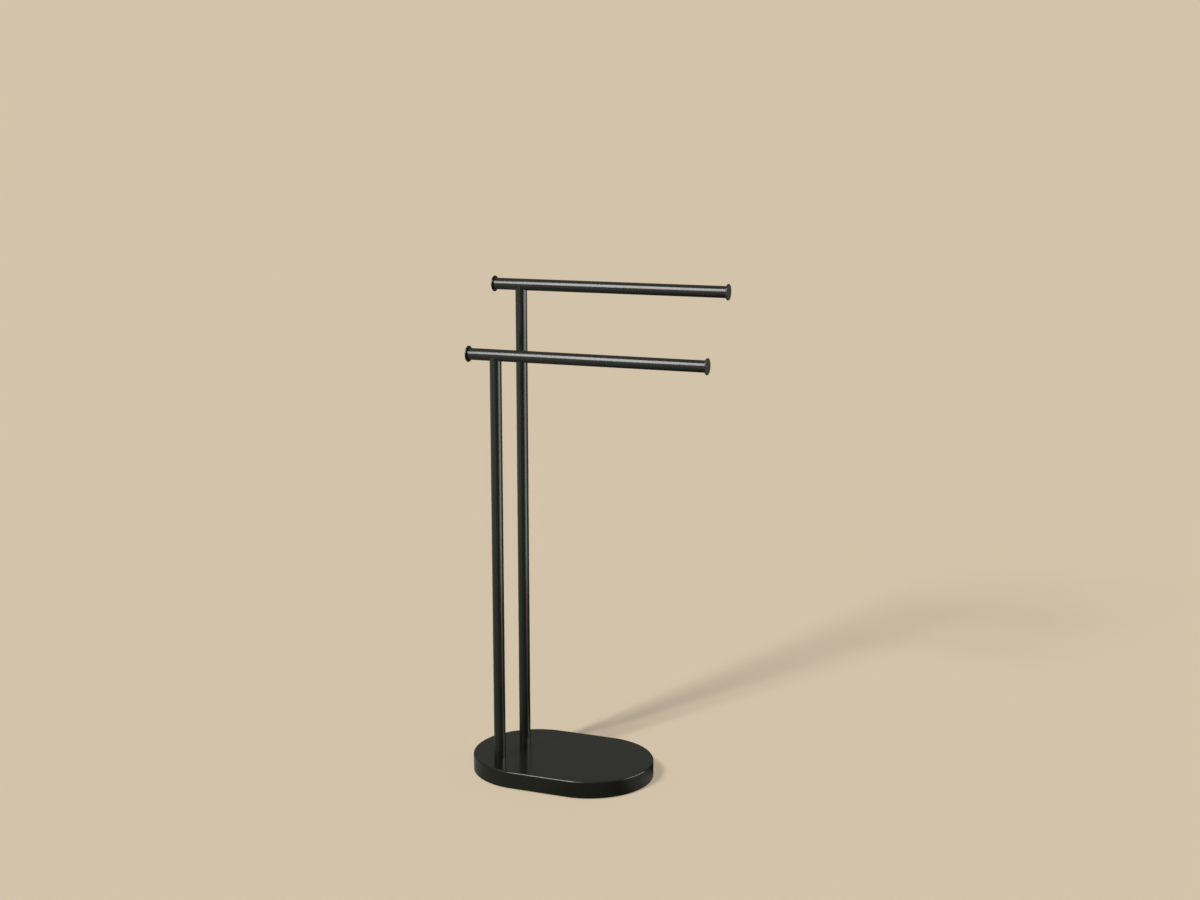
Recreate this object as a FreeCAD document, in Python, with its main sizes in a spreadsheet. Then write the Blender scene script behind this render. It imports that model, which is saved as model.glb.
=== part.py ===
import FreeCAD, Part

import math
import os

import Sketcher
from FreeCAD import Placement, Rotation, Vector

# A freestanding towel stand, in millimetres: a heavy low base, two round posts near its left end, one
# behind the other, and on top of each post a bar that reaches far out to the right. The front post carries
# the lower bar and the rear post the upper one.
#
# Frame: +X along the bars towards their long reach, +Y from the front post to the rear post, +Z up. The
# origin lies on the floor under the middle of the base.

SIZES = {
    # Base, a stadium seen from above, with its straight sides along X
    "base_length": 324.0,
    "base_width": 222.0,
    "base_height": 31.0,
    # Pressed steel cover of the base
    "cover_wall": 1.5,
    "cover_rim_lift": 1.5,
    "cover_top_round": 2.8,
    "cover_rim_round": 0.6,
    # Anti-slip pad, glued under the bottom plate
    "pad_thickness": 3.0,
    "pad_inset": 4.0,
    "pad_hole_gap": 1.0,
    # Bottom plate
    "bottom_plate_thickness": 1.5,
    "bottom_plate_gap": 0.4,
    # Threaded angle lugs, welded inside the cover's wall, three at each round end
    "lug_width": 14.0,
    "lug_end": 6.0,
    "lug_height": 12.0,
    "lug_thickness": 3.0,
    "lug_angle": 70.0,
    # Screws of the bottom plate, M4 with a flat button head
    "plate_screw_inset": 12.0,
    "plate_screw_diameter": 4.0,
    "plate_screw_length": 6.0,
    "plate_screw_tip": 0.4,
    "plate_screw_head_diameter": 7.6,
    "plate_screw_head_height": 2.2,
    "plate_screw_head_round": 1.2,
    "plate_screw_key": 2.5,
    "plate_screw_key_depth": 1.3,
    # Ballast block
    "ballast_gap": 1.0,
    "ballast_headroom": 0.5,
    "ballast_edge": 2.0,
    # Steel discs under the top of the cover, one pulled up under each post by its bolt
    "mount_disc_diameter": 44.0,
    "mount_disc_thickness": 4.0,
    # Posts and bars, all cut from one tube
    "tube_diameter": 20.0,
    "tube_wall": 1.2,
    "post_inset": 65.0,
    "post_spacing": 108.0,
    "lower_bar_height": 741.0,
    "upper_bar_height": 850.0,
    "bar_length": 419.0,
    "bar_overhang": 48.5,
    "cope_gap": 0.05,
    # End caps of the bars
    "cap_lip": 3.75,
    "cap_thickness": 2.5,
    "cap_round": 0.8,
    "cap_plug_length": 14.0,
    "cap_plug_wall": 1.6,
    "cap_fit": 0.1,
    # Threaded plugs in the feet of the posts
    "foot_insert_length": 25.0,
    "foot_insert_bevel": 1.0,
    # Post bolts, M8 with a socket head, and their washers
    "post_bolt_diameter": 8.0,
    "post_bolt_length": 25.0,
    "post_bolt_tip": 0.8,
    "post_bolt_head_diameter": 13.0,
    "post_bolt_head_height": 8.0,
    "post_bolt_head_round": 0.8,
    "post_bolt_key": 6.0,
    "post_bolt_key_depth": 4.0,
    "washer_diameter": 16.0,
    "washer_thickness": 1.6,
    "washer_access": 3.0,
    "spring_washer_diameter": 14.8,
    "spring_washer_thickness": 2.0,
    "spring_washer_slit": 1.2,
    "spring_washer_slant": 1.6,
    # Plugs in the tops of the posts
    "top_plug_length": 12.0,
    "top_plug_bevel": 0.8,
    "top_plug_drop": 1.0,
    # Joint screws, M6 with a socket head, up through the top plugs into the bars
    "joint_screw_diameter": 6.0,
    "joint_screw_length": 20.0,
    "joint_screw_tip": 0.6,
    "joint_screw_head_diameter": 10.0,
    "joint_screw_head_height": 6.0,
    "joint_screw_head_round": 0.6,
    "joint_screw_key": 5.0,
    "joint_screw_key_depth": 3.0,
    # Nuts inside the bars, with the bore's curve on their underside
    "saddle_nut_length": 20.0,
    "saddle_nut_height": 6.6,
    # Clearances, all on the radius
    "plug_fit": 0.05,
    "nut_fit": 0.1,
    "thread_fit": 0.05,
    "screw_clearance": 0.3,
}

# What follows from the sizes
HALF_STRAIGHT = "((Sizes.base_length - Sizes.base_width) / 2)"
OUTER_RADIUS = "(Sizes.base_width / 2)"
INNER_RADIUS = f"({OUTER_RADIUS} - Sizes.cover_wall)"
COVER_HEIGHT = "(Sizes.base_height - Sizes.cover_rim_lift)"
COVER_DEPTH = f"({COVER_HEIGHT} - Sizes.cover_wall)"
COVER_INNER_ROUND = "max(Sizes.cover_top_round - Sizes.cover_wall; Sizes.cover_wall / 4)"
COVER_UNDERSIDE = "(Sizes.base_height - Sizes.cover_wall)"
PLATE_TOP = "(Sizes.pad_thickness + Sizes.bottom_plate_thickness)"
MOUNT_DISC_UNDERSIDE = f"({COVER_UNDERSIDE} - Sizes.mount_disc_thickness)"
WASHER_UNDERSIDE = f"({MOUNT_DISC_UNDERSIDE} - Sizes.washer_thickness)"
SPRING_WASHER_UNDERSIDE = f"({WASHER_UNDERSIDE} - Sizes.spring_washer_thickness)"
BALLAST_HEIGHT = f"({COVER_UNDERSIDE} - Sizes.ballast_headroom - {PLATE_TOP})"
TUBE_RADIUS = "(Sizes.tube_diameter / 2)"
BORE_RADIUS = f"({TUBE_RADIUS} - Sizes.tube_wall)"
PLUG_RADIUS = f"({BORE_RADIUS} - Sizes.plug_fit)"
BOLT_HOLE_RADIUS = "(Sizes.post_bolt_diameter / 2 + Sizes.screw_clearance)"
JOINT_HOLE_RADIUS = "(Sizes.joint_screw_diameter / 2 + Sizes.screw_clearance)"
BOLT_ACCESS_RADIUS = "(Sizes.washer_diameter / 2 + Sizes.washer_access)"
LUG_DEPTH = "(Sizes.plate_screw_inset + Sizes.lug_end)"
HALF_SPACING = "(Sizes.post_spacing / 2)"
POST_X = "(Sizes.post_inset - Sizes.base_length / 2)"
POST_SPOTS = [(POST_X, f"(-{HALF_SPACING})"), (POST_X, HALF_SPACING)]
BAR_START = f"({POST_X} - Sizes.bar_overhang)"

# The two posts: where each stands, and which bar it carries
FRONT_POST = {"name": "front", "y": f"(-{HALF_SPACING})", "bar": "lower"}
REAR_POST = {"name": "rear", "y": HALF_SPACING, "bar": "upper"}

# Numbers of a sketch's own origin, and of the points of a line or an arc
ORIGIN = -1
START, END, CENTRE = 1, 2, 3

# Two heights closer than this are the same
SAME_PLACE = 1e-4

document = FreeCAD.newDocument("TowelStand")
sheet = document.addObject("Spreadsheet::Sheet", "Sizes")
for row, (alias, number) in enumerate(SIZES.items(), start=1):
    sheet.set(f"A{row}", alias)
    sheet.set(f"B{row}", str(number))
    sheet.setAlias(f"B{row}", alias)
document.recompute()

parts = []


# Bodies, outlines and features, all driven by the sizes


def size(expression):
    """The present value of an expression of the sheet."""
    return float(sheet.evalExpression(expression))


def new_part(label, x="0", y="0", z="0", turn=0.0):
    """A body of its own, placed by the sheet and turned about Z by so many degrees."""
    body = document.addObject("PartDesign::Body", label)
    body.Label = label
    body.Placement = Placement(Vector(), Rotation(Vector(0, 0, 1), turn))
    for axis, expression in (("x", x), ("y", y), ("z", z)):
        body.setExpression(f"Placement.Base.{axis}", expression)
    parts.append(body)
    return body


def new_sketch(body, name, plane="XY_Plane", lift="0"):
    """A sketch on one of the body's own origin planes, moved along its normal by lift."""
    sketch = body.newObject("Sketcher::SketchObject", f"{body.Name}_{name}")
    face = next(item for item in body.Origin.OriginFeatures if item.Role == plane)
    sketch.AttachmentSupport = (face, [""])
    sketch.MapMode = "FlatFace"
    sketch.setExpression("AttachmentOffset.Base.z", lift)
    return sketch


def drive(sketch, kind, items, expression):
    """Add a sized constraint and bind its size to the sheet."""
    index = sketch.addConstraint(Sketcher.Constraint(kind, *items, size(expression)))
    name = f"Driven{index}"
    sketch.renameConstraint(index, name)
    sketch.setExpression(f"Constraints.{name}", expression)


def drive_point(sketch, geometry, point, across, up):
    """Hold a point of the sketch at a place given by the sheet."""
    drive(sketch, "DistanceX", (ORIGIN, START, geometry, point), across)
    drive(sketch, "DistanceY", (ORIGIN, START, geometry, point), up)


def draw_circle(sketch, across, up, radius):
    circle = Part.Circle(Vector(size(across), size(up), 0), Vector(0, 0, 1), size(radius))
    index = sketch.addGeometry(circle, False)
    drive_point(sketch, index, CENTRE, across, up)
    drive(sketch, "Radius", (index,), radius)


def draw_polygon(sketch, points):
    """A closed outline with straight sides, whose corners the sheet places."""
    corners = [Vector(size(across), size(up), 0) for across, up in points]
    following = corners[1:] + corners[:1]
    sides = [
        sketch.addGeometry(Part.LineSegment(near, far), False)
        for near, far in zip(corners, following)
    ]
    for side, next_side, (across, up) in zip(sides, sides[1:] + sides[:1], points):
        sketch.addConstraint(Sketcher.Constraint("Coincident", side, END, next_side, START))
        drive_point(sketch, side, START, across, up)


def draw_hexagon(sketch, across, up, flats):
    """A regular hexagon about a point, measured across its flats."""
    reach = f"{flats} / 2 / cos(30)"
    corners = [
        (f"{across} + {reach} * cos({angle})", f"{up} + {reach} * sin({angle})")
        for angle in range(0, 360, 60)
    ]
    draw_polygon(sketch, corners)


def draw_stadium(sketch, radius):
    """The base's outline at any inset: round ends of this radius about the same two centres."""
    reach, bend = size(HALF_STRAIGHT), size(radius)
    normal = Vector(0, 0, 1)
    quarter = math.pi / 2
    right_end = Part.ArcOfCircle(Part.Circle(Vector(reach, 0, 0), normal, bend), -quarter, quarter)
    left_end = Part.ArcOfCircle(Part.Circle(Vector(-reach, 0, 0), normal, bend), quarter, 3 * quarter)
    rear_side = Part.LineSegment(Vector(-reach, bend, 0), Vector(reach, bend, 0))
    front_side = Part.LineSegment(Vector(reach, -bend, 0), Vector(-reach, -bend, 0))
    rear, right, front, left = (
        sketch.addGeometry(item, False) for item in (rear_side, right_end, front_side, left_end)
    )
    for meeting in (
        (rear, END, right, END),
        (right, START, front, START),
        (front, END, left, END),
        (left, START, rear, START),
    ):
        sketch.addConstraint(Sketcher.Constraint("Tangent", *meeting))
    sketch.addConstraint(Sketcher.Constraint("Equal", left, right))
    drive_point(sketch, right, CENTRE, HALF_STRAIGHT, "0")
    drive_point(sketch, left, CENTRE, f"-{HALF_STRAIGHT}", "0")
    drive(sketch, "Radius", (right,), radius)


def add_pad(sketch, length, symmetric=False):
    body = sketch.getParentGeoFeatureGroup()
    pad = body.newObject("PartDesign::Pad", f"{sketch.Name}_Pad")
    pad.Profile = sketch
    pad.SideType = "Symmetric" if symmetric else "One side"
    pad.setExpression("Length", length)
    document.recompute()


def add_pocket(sketch, length=None, upward=False, symmetric=False):
    """Cut to a depth, or all the way through where no length is given, and make sure that it cut."""
    body = sketch.getParentGeoFeatureGroup()
    before = body.Shape.Volume
    pocket = body.newObject("PartDesign::Pocket", f"{sketch.Name}_Pocket")
    pocket.Profile = sketch
    pocket.Reversed = upward
    pocket.SideType = "Symmetric" if symmetric else "One side"
    if length is None:
        pocket.Type = "ThroughAll"
    else:
        pocket.setExpression("Length", length)
    document.recompute()
    if not body.Shape.Volume < before:
        raise RuntimeError(f"{pocket.Name} cut nothing")


def add_revolution(sketch):
    """Turn a sketch once round its own upright axis."""
    body = sketch.getParentGeoFeatureGroup()
    turned = body.newObject("PartDesign::Revolution", f"{sketch.Name}_Revolution")
    turned.Profile = sketch
    turned.ReferenceAxis = (sketch, ["V_Axis"])
    turned.Angle = 360.0
    document.recompute()


def level_edges(body, height):
    """Names of the body's edges that lie flat at one height."""
    level = size(height)
    names = []
    for number, edge in enumerate(body.Tip.Shape.Edges, start=1):
        box = edge.BoundBox
        if max(abs(box.ZMin - level), abs(box.ZMax - level)) < SAME_PLACE:
            names.append(f"Edge{number}")
    return names


def ring_edges(body):
    """Names of the body's edges that lie in a plane across X, such as both rims of a disc."""
    edges = enumerate(body.Tip.Shape.Edges, start=1)
    return [f"Edge{number}" for number, edge in edges if edge.BoundBox.XLength < SAME_PLACE]


def round_edges(body, names, radius):
    fillet = body.newObject("PartDesign::Fillet", f"{body.Name}_Fillet")
    fillet.Base = (fillet.BaseFeature, names)
    fillet.setExpression("Radius", radius)
    document.recompute()


def bevel_edges(body, names, length):
    chamfer = body.newObject("PartDesign::Chamfer", f"{body.Name}_Chamfer")
    chamfer.Base = (chamfer.BaseFeature, names)
    chamfer.setExpression("Size", length)
    document.recompute()


# The six places round the inside of the cover, each a distance in from the wall


def lug_point(side, angle, inward, sideways="0"):
    """A point seen from the centre of one round end, with side 1 on the right and -1 on the left."""
    outward = f"({INNER_RADIUS} - {inward})"
    x = f"{side} * ({HALF_STRAIGHT} + {outward} * cos({angle}) - {sideways} * sin({angle}))"
    y = f"({outward} * sin({angle}) + {sideways} * cos({angle}))"
    return x, y


LUG_PLACES = [
    (side, f"({turn} * Sizes.lug_angle)") for side in ("1", "-1") for turn in ("-1", "0", "1")
]
SCREW_SPOTS = [lug_point(side, angle, "Sizes.plate_screw_inset") for side, angle in LUG_PLACES]


def draw_lug_outlines(sketch, near, far, half_width):
    """A rectangle at each of the six places, from near to far in from the cover's wall."""
    for side, angle in LUG_PLACES:
        corners = [
            lug_point(side, angle, near, f"(-{half_width})"),
            lug_point(side, angle, near, half_width),
            lug_point(side, angle, far, half_width),
            lug_point(side, angle, far, f"(-{half_width})"),
        ]
        draw_polygon(sketch, corners)


# Pieces of the base


def make_base_cover():
    body = new_part("base_cover", z="Sizes.cover_rim_lift")
    outline = new_sketch(body, "Outline")
    draw_stadium(outline, OUTER_RADIUS)
    add_pad(outline, COVER_HEIGHT)
    round_edges(body, level_edges(body, COVER_HEIGHT), "Sizes.cover_top_round")
    round_edges(body, level_edges(body, "0"), "Sizes.cover_rim_round")
    hollow = new_sketch(body, "Hollow")
    draw_stadium(hollow, INNER_RADIUS)
    add_pocket(hollow, COVER_DEPTH, upward=True)
    round_edges(body, level_edges(body, COVER_DEPTH), COVER_INNER_ROUND)
    bolt_holes = new_sketch(body, "BoltHoles", lift=COVER_HEIGHT)
    for x, y in POST_SPOTS:
        draw_circle(bolt_holes, x, y, BOLT_HOLE_RADIUS)
    add_pocket(bolt_holes)


def make_cover_lugs():
    """Six angle lugs, each with a leg against the cover's wall and a threaded tab on the bottom plate."""
    body = new_part("cover_lugs", z=PLATE_TOP)
    half_width = "(Sizes.lug_width / 2)"
    # A straight leg touches the round wall with its two outer edges only
    wall_gap = f"({INNER_RADIUS} - sqrt({INNER_RADIUS} ^ 2 - {half_width} ^ 2))"
    tabs = new_sketch(body, "Tabs")
    draw_lug_outlines(tabs, wall_gap, LUG_DEPTH, half_width)
    add_pad(tabs, "Sizes.lug_thickness")
    legs = new_sketch(body, "Legs")
    draw_lug_outlines(legs, wall_gap, f"({wall_gap} + Sizes.lug_thickness)", half_width)
    add_pad(legs, "Sizes.lug_height")
    threads = new_sketch(body, "Threads")
    for x, y in SCREW_SPOTS:
        draw_circle(threads, x, y, "Sizes.plate_screw_diameter / 2 + Sizes.thread_fit")
    add_pocket(threads, "Sizes.lug_thickness", upward=True)


def make_bottom_plate():
    body = new_part("bottom_plate", z="Sizes.pad_thickness")
    outline = new_sketch(body, "Outline")
    draw_stadium(outline, f"{INNER_RADIUS} - Sizes.bottom_plate_gap")
    add_pad(outline, "Sizes.bottom_plate_thickness")
    holes = new_sketch(body, "Holes")
    for x, y in SCREW_SPOTS:
        draw_circle(holes, x, y, "Sizes.plate_screw_diameter / 2 + Sizes.screw_clearance")
    for x, y in POST_SPOTS:
        draw_circle(holes, x, y, BOLT_ACCESS_RADIUS)
    add_pocket(holes, upward=True)


def make_anti_slip_pad():
    body = new_part("anti_slip_pad")
    outline = new_sketch(body, "Outline")
    draw_stadium(outline, f"{OUTER_RADIUS} - Sizes.pad_inset")
    add_pad(outline, "Sizes.pad_thickness")
    holes = new_sketch(body, "Holes")
    for x, y in SCREW_SPOTS:
        draw_circle(holes, x, y, "Sizes.plate_screw_head_diameter / 2 + Sizes.pad_hole_gap")
    for x, y in POST_SPOTS:
        draw_circle(holes, x, y, f"{BOLT_ACCESS_RADIUS} + Sizes.pad_hole_gap")
    add_pocket(holes, upward=True)


def make_ballast_block():
    """Cast block that fills the cover, clear of the lugs, the mount discs and the post bolts."""
    body = new_part("ballast_block", z=PLATE_TOP)
    outline = new_sketch(body, "Outline")
    draw_stadium(outline, f"{INNER_RADIUS} - Sizes.ballast_gap")
    add_pad(outline, BALLAST_HEIGHT)
    rims = level_edges(body, "0") + level_edges(body, BALLAST_HEIGHT)
    bevel_edges(body, rims, "Sizes.ballast_edge")
    notches = new_sketch(body, "LugNotches")
    half_notch = "(Sizes.lug_width / 2 + Sizes.ballast_gap)"
    draw_lug_outlines(notches, f"(-{LUG_DEPTH})", f"({LUG_DEPTH} + Sizes.ballast_gap)", half_notch)
    add_pocket(notches, upward=True)
    recesses = new_sketch(body, "DiscRecesses", lift=BALLAST_HEIGHT)
    for x, y in POST_SPOTS:
        draw_circle(recesses, x, y, "Sizes.mount_disc_diameter / 2 + Sizes.ballast_gap")
    add_pocket(recesses, "Sizes.mount_disc_thickness")
    bolt_holes = new_sketch(body, "BoltHoles")
    for x, y in POST_SPOTS:
        draw_circle(bolt_holes, x, y, f"{BOLT_ACCESS_RADIUS} + Sizes.ballast_gap")
    add_pocket(bolt_holes, upward=True)


# Fasteners


def make_screws(label, kind, spots, x="0", y="0", z="0"):
    """Socket head screws that point up, with the seats of their heads at the body's own height zero."""
    body = new_part(label, x, y, z)
    heads = new_sketch(body, "Heads", lift=f"-Sizes.{kind}_head_height")
    for across, up in spots:
        draw_circle(heads, across, up, f"Sizes.{kind}_head_diameter / 2")
    add_pad(heads, f"Sizes.{kind}_head_height")
    round_edges(body, level_edges(body, f"-Sizes.{kind}_head_height"), f"Sizes.{kind}_head_round")
    shanks = new_sketch(body, "Shanks")
    for across, up in spots:
        draw_circle(shanks, across, up, f"Sizes.{kind}_diameter / 2")
    add_pad(shanks, f"Sizes.{kind}_length")
    bevel_edges(body, level_edges(body, f"Sizes.{kind}_length"), f"Sizes.{kind}_tip")
    sockets = new_sketch(body, "Sockets", lift=f"-Sizes.{kind}_head_height")
    for across, up in spots:
        draw_hexagon(sockets, across, up, f"Sizes.{kind}_key")
    add_pocket(sockets, f"Sizes.{kind}_key_depth", upward=True)


def make_bolt_ring(label, post, z, diameter, thickness):
    """A flat ring round a post bolt, bored to clear it."""
    body = new_part(label, x=POST_X, y=post["y"], z=z)
    ring = new_sketch(body, "Ring")
    draw_circle(ring, "0", "0", f"{diameter} / 2")
    draw_circle(ring, "0", "0", BOLT_HOLE_RADIUS)
    add_pad(ring, thickness)
    return body


def make_spring_washer(label, post):
    """A split ring, cut through on one side by a slanting slit."""
    body = make_bolt_ring(
        label,
        post,
        SPRING_WASHER_UNDERSIDE,
        "Sizes.spring_washer_diameter",
        "Sizes.spring_washer_thickness",
    )
    slit = new_sketch(body, "Slit", plane="YZ_Plane")
    half_slit = "Sizes.spring_washer_slit / 2"
    half_slant = "Sizes.spring_washer_slant / 2"
    top = "Sizes.spring_washer_thickness"
    corners = [
        (f"-{half_slit} - {half_slant}", "0"),
        (f"{half_slit} - {half_slant}", "0"),
        (f"{half_slit} + {half_slant}", top),
        (f"-{half_slit} + {half_slant}", top),
    ]
    draw_polygon(slit, corners)
    add_pocket(slit, "Sizes.spring_washer_diameter")


# Posts, bars and what joins them


def bar_height(post):
    return f"Sizes.{post['bar']}_bar_height"


def make_post(post):
    """A tube from the base up to its bar, coped at the top to the bar's round underside."""
    body = new_part(f"{post['name']}_post", x=POST_X, y=post["y"], z="Sizes.base_height")
    length = f"({bar_height(post)} - Sizes.base_height)"
    section = new_sketch(body, "Section")
    draw_circle(section, "0", "0", TUBE_RADIUS)
    draw_circle(section, "0", "0", BORE_RADIUS)
    add_pad(section, length)
    cope = new_sketch(body, "Cope", plane="YZ_Plane")
    draw_circle(cope, "0", length, f"{TUBE_RADIUS} + Sizes.cope_gap")
    add_pocket(cope, "Sizes.tube_diameter * 2", symmetric=True)


def make_bar(post):
    """A tube along X with one hole in its underside for the joint screw."""
    body = new_part(f"{post['bar']}_bar", x=BAR_START, y=post["y"], z=bar_height(post))
    section = new_sketch(body, "Section", plane="YZ_Plane")
    draw_circle(section, "0", "0", TUBE_RADIUS)
    draw_circle(section, "0", "0", BORE_RADIUS)
    add_pad(section, "Sizes.bar_length")
    screw_hole = new_sketch(body, "ScrewHole")
    draw_circle(screw_hole, "Sizes.bar_overhang", "0", JOINT_HOLE_RADIUS)
    add_pocket(screw_hole, "Sizes.tube_diameter")


def make_turned_plug(label, post, z, length, bore, bevel):
    """A round plug inside a post, bored through, with its upper edge bevelled."""
    body = new_part(label, x=POST_X, y=post["y"], z=z)
    half_section = new_sketch(body, "HalfSection", plane="XZ_Plane")
    corners = [
        (bore, "0"),
        (PLUG_RADIUS, "0"),
        (PLUG_RADIUS, f"{length} - {bevel}"),
        (f"{PLUG_RADIUS} - {bevel}", length),
        (bore, length),
    ]
    draw_polygon(half_section, corners)
    add_revolution(half_section)


def make_saddle_nut(post):
    """A block in the bar's bore over the post: round underside, flat top, one threaded hole."""
    body = new_part(f"{post['bar']}_bar_saddle_nut", x=POST_X, y=post["y"], z=bar_height(post))
    radius = f"({BORE_RADIUS} - Sizes.nut_fit)"
    section = new_sketch(body, "Section", plane="YZ_Plane")
    draw_circle(section, "0", "0", radius)
    add_pad(section, "Sizes.saddle_nut_length", symmetric=True)
    waste = new_sketch(body, "Waste", plane="YZ_Plane")
    flat = f"(Sizes.saddle_nut_height - {radius})"
    corners = [
        (f"-{radius} * 2", flat),
        (f"{radius} * 2", flat),
        (f"{radius} * 2", f"{radius} * 2"),
        (f"-{radius} * 2", f"{radius} * 2"),
    ]
    draw_polygon(waste, corners)
    add_pocket(waste, "Sizes.saddle_nut_length * 2", symmetric=True)
    thread = new_sketch(body, "Thread")
    draw_circle(thread, "0", "0", "Sizes.joint_screw_diameter / 2 + Sizes.thread_fit")
    add_pocket(thread, "Sizes.tube_diameter", symmetric=True)


def make_end_cap(post, end):
    """A flanged cap: its disc stands against the bar's end, and its hollow plug fits the bore."""
    right = end == "right"
    x = f"({BAR_START} + Sizes.bar_length)" if right else BAR_START
    label = f"{post['bar']}_bar_{end}_cap"
    body = new_part(label, x=x, y=post["y"], z=bar_height(post), turn=180.0 if right else 0.0)
    disc = new_sketch(body, "Disc", plane="YZ_Plane", lift="-Sizes.cap_thickness")
    draw_circle(disc, "0", "0", f"{TUBE_RADIUS} + Sizes.cap_lip")
    add_pad(disc, "Sizes.cap_thickness")
    round_edges(body, ring_edges(body), "Sizes.cap_round")
    plug = new_sketch(body, "Plug", plane="YZ_Plane")
    plug_radius = f"({BORE_RADIUS} - Sizes.cap_fit)"
    draw_circle(plug, "0", "0", plug_radius)
    draw_circle(plug, "0", "0", f"{plug_radius} - Sizes.cap_plug_wall")
    add_pad(plug, "Sizes.cap_plug_length")


def make_post_assembly(post):
    """One post with its bar and everything that joins the two to each other and to the base."""
    name = post["name"]
    centre = [("0", "0")]
    make_post(post)
    make_bar(post)
    for end in ("left", "right"):
        make_end_cap(post, end)
    make_saddle_nut(post)
    foot_bore = "(Sizes.post_bolt_diameter / 2 + Sizes.thread_fit)"
    make_turned_plug(
        f"{name}_foot_insert",
        post,
        "Sizes.base_height",
        "Sizes.foot_insert_length",
        foot_bore,
        "Sizes.foot_insert_bevel",
    )
    top_plug_z = f"({bar_height(post)} - {TUBE_RADIUS} - Sizes.top_plug_drop - Sizes.top_plug_length)"
    make_turned_plug(
        f"{name}_top_plug",
        post,
        top_plug_z,
        "Sizes.top_plug_length",
        JOINT_HOLE_RADIUS,
        "Sizes.top_plug_bevel",
    )
    make_screws(f"{name}_joint_screw", "joint_screw", centre, x=POST_X, y=post["y"], z=top_plug_z)
    make_screws(
        f"{name}_post_bolt", "post_bolt", centre, x=POST_X, y=post["y"], z=SPRING_WASHER_UNDERSIDE
    )
    make_bolt_ring(
        f"{name}_mount_disc",
        post,
        MOUNT_DISC_UNDERSIDE,
        "Sizes.mount_disc_diameter",
        "Sizes.mount_disc_thickness",
    )
    make_bolt_ring(
        f"{name}_bolt_washer",
        post,
        WASHER_UNDERSIDE,
        "Sizes.washer_diameter",
        "Sizes.washer_thickness",
    )
    make_spring_washer(f"{name}_bolt_spring_washer", post)


def check_document():
    for item in document.Objects:
        if {"Invalid", "Error"} & set(item.State):
            raise RuntimeError(f"{item.Name} failed: {item.State}")
    for part in parts:
        if part.Shape.isNull() or not part.Shape.isValid():
            raise RuntimeError(f"{part.Label} has no valid shape")


def write_parts():
    os.makedirs("parts", exist_ok=True)
    for part in parts:
        part.Shape.exportStep(f"parts/{part.Label}.step")
        solids = len(part.Shape.Solids)
        print(f"{part.Label}: {solids} solid(s), {part.Shape.Volume / 1000:.2f} cm3")


make_base_cover()
make_cover_lugs()
make_ballast_block()
make_bottom_plate()
make_screws("bottom_plate_screws", "plate_screw", SCREW_SPOTS, z="Sizes.pad_thickness")
make_anti_slip_pad()
make_post_assembly(FRONT_POST)
make_post_assembly(REAR_POST)
document.recompute()
check_document()
write_parts()
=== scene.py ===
import math

import bpy
import numpy as np
from bpy.props import FloatProperty, FloatVectorProperty, PointerProperty
from bpy.types import Operator, Panel, PropertyGroup
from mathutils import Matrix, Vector


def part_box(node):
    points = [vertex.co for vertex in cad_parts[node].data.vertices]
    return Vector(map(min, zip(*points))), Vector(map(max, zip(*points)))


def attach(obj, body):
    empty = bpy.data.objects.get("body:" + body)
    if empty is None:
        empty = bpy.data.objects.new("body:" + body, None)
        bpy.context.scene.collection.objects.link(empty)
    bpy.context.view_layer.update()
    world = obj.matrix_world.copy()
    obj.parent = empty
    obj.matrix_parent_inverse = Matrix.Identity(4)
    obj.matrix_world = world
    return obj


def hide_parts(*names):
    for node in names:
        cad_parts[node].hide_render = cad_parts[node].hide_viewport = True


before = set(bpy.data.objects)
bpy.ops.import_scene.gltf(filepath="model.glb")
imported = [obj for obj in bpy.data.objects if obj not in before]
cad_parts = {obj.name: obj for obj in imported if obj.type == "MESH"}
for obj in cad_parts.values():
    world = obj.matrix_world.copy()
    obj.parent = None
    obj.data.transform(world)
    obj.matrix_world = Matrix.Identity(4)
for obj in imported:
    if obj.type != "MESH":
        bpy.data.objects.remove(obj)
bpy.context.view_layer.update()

bl_info = {
    "name": "Freestanding towel stand",
    "version": (1, 0, 0),
    "blender": (4, 5, 0),
    "location": "3D View > Sidebar > Towel stand",
    "description": "Finishes, screw threads, floor, lamps and camera for a towel stand with two bars",
    "category": "Object",
}

MM = 0.001

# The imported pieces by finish
BASE = ("base_cover",)
POSTS = ("front_post", "rear_post")
BARS = ("lower_bar", "upper_bar")
CAPS = ("lower_bar_left_cap", "lower_bar_right_cap", "upper_bar_left_cap", "upper_bar_right_cap")
SHEET_STEEL = ("bottom_plate", "cover_lugs")
TURNED_STEEL = (
    "front_mount_disc", "rear_mount_disc",
    "front_bolt_washer", "rear_bolt_washer",
    "front_bolt_spring_washer", "rear_bolt_spring_washer",
    "front_foot_insert", "rear_foot_insert",
    "front_top_plug", "rear_top_plug",
)
NUTS = ("lower_bar_saddle_nut", "upper_bar_saddle_nut")

# Screws, in millimetres: diameter, length and tip of the shank, diameter, height and round of the head, its
# key across the flats, the key's depth and the pitch of the thread, and the number of knurls round the head
POST_BOLT = {"shank": 8.0, "length": 25.0, "tip": 0.8, "head": 13.0, "height": 8.0, "round": 0.8,
             "key": 6.0, "key_depth": 4.0, "pitch": 1.25, "knurls": 36}
JOINT_SCREW = {"shank": 6.0, "length": 20.0, "tip": 0.6, "head": 10.0, "height": 6.0, "round": 0.6,
               "key": 5.0, "key_depth": 3.0, "pitch": 1.0, "knurls": 30}
PLATE_SCREW = {"shank": 4.0, "length": 6.0, "tip": 0.4, "head": 7.6, "height": 2.2, "round": 1.2,
               "key": 2.5, "key_depth": 1.3, "pitch": 0.7, "knurls": 0}

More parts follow.
